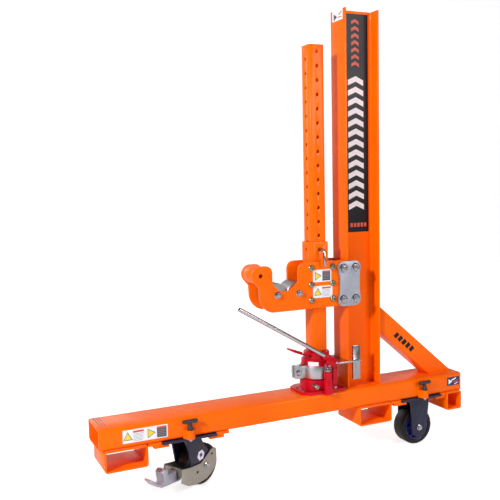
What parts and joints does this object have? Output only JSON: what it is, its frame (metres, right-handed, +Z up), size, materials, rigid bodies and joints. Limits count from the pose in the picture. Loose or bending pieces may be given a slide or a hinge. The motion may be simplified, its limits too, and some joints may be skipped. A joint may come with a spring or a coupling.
{
  "type": "reel jack stand",
  "caption": "Wheeled reel jack stand: beam base on casters, I-beam mast, and a spindle cradle carriage pinned to a perforated tube that a bottle jack lifts.",
  "frame": {"origin": "middle of the stand's footprint box, on the floor under the wheels", "axes": "+Z up; the toe and its spindle cradle point to -X along the beam; the pump, the handle and the caster locks face -Y"},
  "size_m": [1.5342, 0.2028, 1.7526],
  "materials": {
    "orange_paint": "gloss powder coat",
    "red_paint": "gloss enamel",
    "zinc_plate": "dull zinc plate",
    "bright_steel": "bright plated or machined steel",
    "black_plastic": "moulded, satin",
    "fork_paint": "blue-black semi-gloss enamel",
    "tyre_rubber": "smooth solid tread",
    "hub_plastic": "moulded wheel centre",
    "brake_steel": "zinc-plated pressing"
  },
  "bodies": {
    "stand_frame": {"base_beam": "orange_paint", "front_foot": "orange_paint", "middle_foot": "orange_paint", "rear_foot": "orange_paint", "mast_column": "orange_paint", "rear_brace": "orange_paint", "caster_rail_1": "orange_paint", "caster_rail_2": "orange_paint", "caster_rail_3": "orange_paint", "caster_rail_4": "orange_paint", "front_lock_boss": "orange_paint", "rear_lock_boss": "orange_paint", "front_caster_plate": "fork_paint", "rear_caster_plate": "fork_paint", "rear_caster_fork": "fork_paint", "rear_axle": "bright_steel", "jack_base": "red_paint", "jack_tank": "red_paint", "pump_barrel": "red_paint", "clamp_band": "bright_steel", "mast_bracket": "bright_steel", "carry_handle": "red_paint"},
    "valve": {"release_valve": "zinc_plate"},
    "front_lock": {"front_lock_plunger": "black_plastic"},
    "rear_lock": {"rear_lock_plunger": "black_plastic"},
    "front_swivel": {"front_caster_fork": "fork_paint", "front_axle": "bright_steel", "brake_frame": "brake_steel"},
    "front_wheel": {"front_tyre": "tyre_rubber", "front_hub": "hub_plastic"},
    "rear_wheel": {"rear_tyre": "tyre_rubber", "rear_hub": "hub_plastic"},
    "pedal": {"brake_pedal": "bright_steel"},
    "lift_column": {"lift_tube": "orange_paint", "thrust_plug": "zinc_plate", "jack_ram": "bright_steel"},
    "carriage": {"carriage_sleeve": "orange_paint", "near_toe_plate": "orange_paint", "far_toe_plate": "orange_paint", "horn_tube": "orange_paint", "near_guide_plate": "zinc_plate", "far_guide_plate": "zinc_plate", "front_spindle_bolt": "bright_steel", "rear_spindle_bolt": "bright_steel", "lower_guide_bolt": "bright_steel", "upper_guide_bolt": "bright_steel"},
    "front_spindle": {"front_spindle_roller": "bright_steel"},
    "rear_spindle": {"rear_spindle_roller": "bright_steel"},
    "guide_front_lower": {"lower_front_roller": "zinc_plate"},
    "guide_front_upper": {"upper_front_roller": "zinc_plate"},
    "guide_near_lower": {"near_lower_rear_roller": "zinc_plate"},
    "guide_near_upper": {"near_upper_rear_roller": "zinc_plate"},
    "guide_far_lower": {"far_lower_rear_roller": "zinc_plate"},
    "guide_far_upper": {"far_upper_rear_roller": "zinc_plate"},
    "column_pin": {"lock_pin": "bright_steel"},
    "plunger": {"pump_plunger": "bright_steel"},
    "link": {"pump_link": "red_paint"},
    "socket": {"pump_socket": "red_paint"},
    "handle": {"pump_handle": "bright_steel"}
  },
  "joints": [
    {"name": "lift", "type": "slide", "parent": "stand_frame", "child": "lift_column", "axis": [0, 0, 1], "range_m": [0, 0.07874]},
    {"name": "carriage_adjust", "type": "slide", "parent": "lift_column", "child": "carriage", "axis": [0, 0, 1], "range_m": [0, 0.63581]},
    {"name": "lock_pin_pull", "type": "slide", "parent": "carriage", "child": "column_pin", "axis": [0, -1, 0], "range_m": [0, 0.10668]},
    {"name": "front_spindle_spin", "type": "hinge", "parent": "carriage", "child": "front_spindle", "pos_m": [-0.07493, 0.00528, 0.68631], "axis": [0, 1, 0], "continuous": true},
    {"name": "rear_spindle_spin", "type": "hinge", "parent": "carriage", "child": "rear_spindle", "pos_m": [0.01676, 0.00528, 0.68631], "axis": [0, 1, 0], "continuous": true},
    {"name": "guide_front_lower_spin", "type": "hinge", "parent": "carriage", "child": "guide_front_lower", "pos_m": [0.2032, 0.00528, 0.6477], "axis": [0, 1, 0], "continuous": true},
    {"name": "guide_near_lower_spin", "type": "hinge", "parent": "carriage", "child": "guide_near_lower", "pos_m": [0.25908, -0.02444, 0.6477], "axis": [0, 1, 0], "continuous": true},
    {"name": "guide_far_lower_spin", "type": "hinge", "parent": "carriage", "child": "guide_far_lower", "pos_m": [0.25908, 0.035, 0.6477], "axis": [0, 1, 0], "continuous": true},
    {"name": "guide_front_upper_spin", "type": "hinge", "parent": "carriage", "child": "guide_front_upper", "pos_m": [0.2032, 0.00528, 0.76962], "axis": [0, 1, 0], "continuous": true},
    {"name": "guide_near_upper_spin", "type": "hinge", "parent": "carriage", "child": "guide_near_upper", "pos_m": [0.25908, -0.02444, 0.76962], "axis": [0, 1, 0], "continuous": true},
    {"name": "guide_far_upper_spin", "type": "hinge", "parent": "carriage", "child": "guide_far_upper", "pos_m": [0.25908, 0.035, 0.76962], "axis": [0, 1, 0], "continuous": true},
    {"name": "pump_stroke", "type": "hinge", "parent": "link", "child": "socket", "pos_m": [0.14986, -0.07549, 0.41402], "axis": [0, 1, 0], "range_deg": [-10, 30]},
    {"name": "pump_link_swing", "type": "hinge", "parent": "stand_frame", "child": "link", "pos_m": [0.1463, -0.07549, 0.31852], "axis": [0, 1, 0], "range_deg": [-1, 2]},
    {"name": "pump_plunger_travel", "type": "slide", "parent": "stand_frame", "child": "plunger", "axis": [0, 0, 1], "range_m": [-0.0066, 0.0198]},
    {"name": "pump_handle_pull", "type": "slide", "parent": "socket", "child": "handle", "axis": [-0.8576, 0, 0.5143], "range_m": [0, 0.026]},
    {"name": "release_valve_turn", "type": "hinge", "parent": "stand_frame", "child": "valve", "pos_m": [0.07366, -0.05822, 0.32385], "axis": [0, -1, 0], "range_deg": [0, 360]},
    {"name": "front_lock_pull", "type": "slide", "parent": "stand_frame", "child": "front_lock", "axis": [0, 0, 1], "range_m": [0, 0.0127], "stiffness_N_per_m": 800, "springref_m": -0.01},
    {"name": "rear_lock_pull", "type": "slide", "parent": "stand_frame", "child": "rear_lock", "axis": [0, 0, 1], "range_m": [0, 0.0127], "stiffness_N_per_m": 800, "springref_m": -0.01},
    {"name": "front_swivel_turn", "type": "hinge", "parent": "stand_frame", "child": "front_swivel", "pos_m": [-0.4445, 0.00528, 0.19558], "axis": [0, 0, 1], "continuous": true},
    {"name": "front_wheel_spin", "type": "hinge", "parent": "front_swivel", "child": "front_wheel", "pos_m": [-0.38004, 0.03534, 0.0762], "axis": [-0.4226, 0.9063, 0], "continuous": true},
    {"name": "rear_wheel_spin", "type": "hinge", "parent": "stand_frame", "child": "rear_wheel", "pos_m": [0.57531, 0.00528, 0.0762], "axis": [0, 1, 0], "continuous": true},
    {"name": "brake_pedal_press", "type": "hinge", "parent": "front_swivel", "child": "pedal", "pos_m": [-0.47328, -0.00814, 0.07239], "axis": [-0.4226, 0.9063, 0], "range_deg": [-14, 0]}
  ],
  "couplings": [
    {"joint": "pump_link_swing", "follows": "pump_stroke", "ratio": 0.05},
    {"joint": "pump_plunger_travel", "follows": "pump_stroke", "m_per_rad": 0.0344}
  ]
}
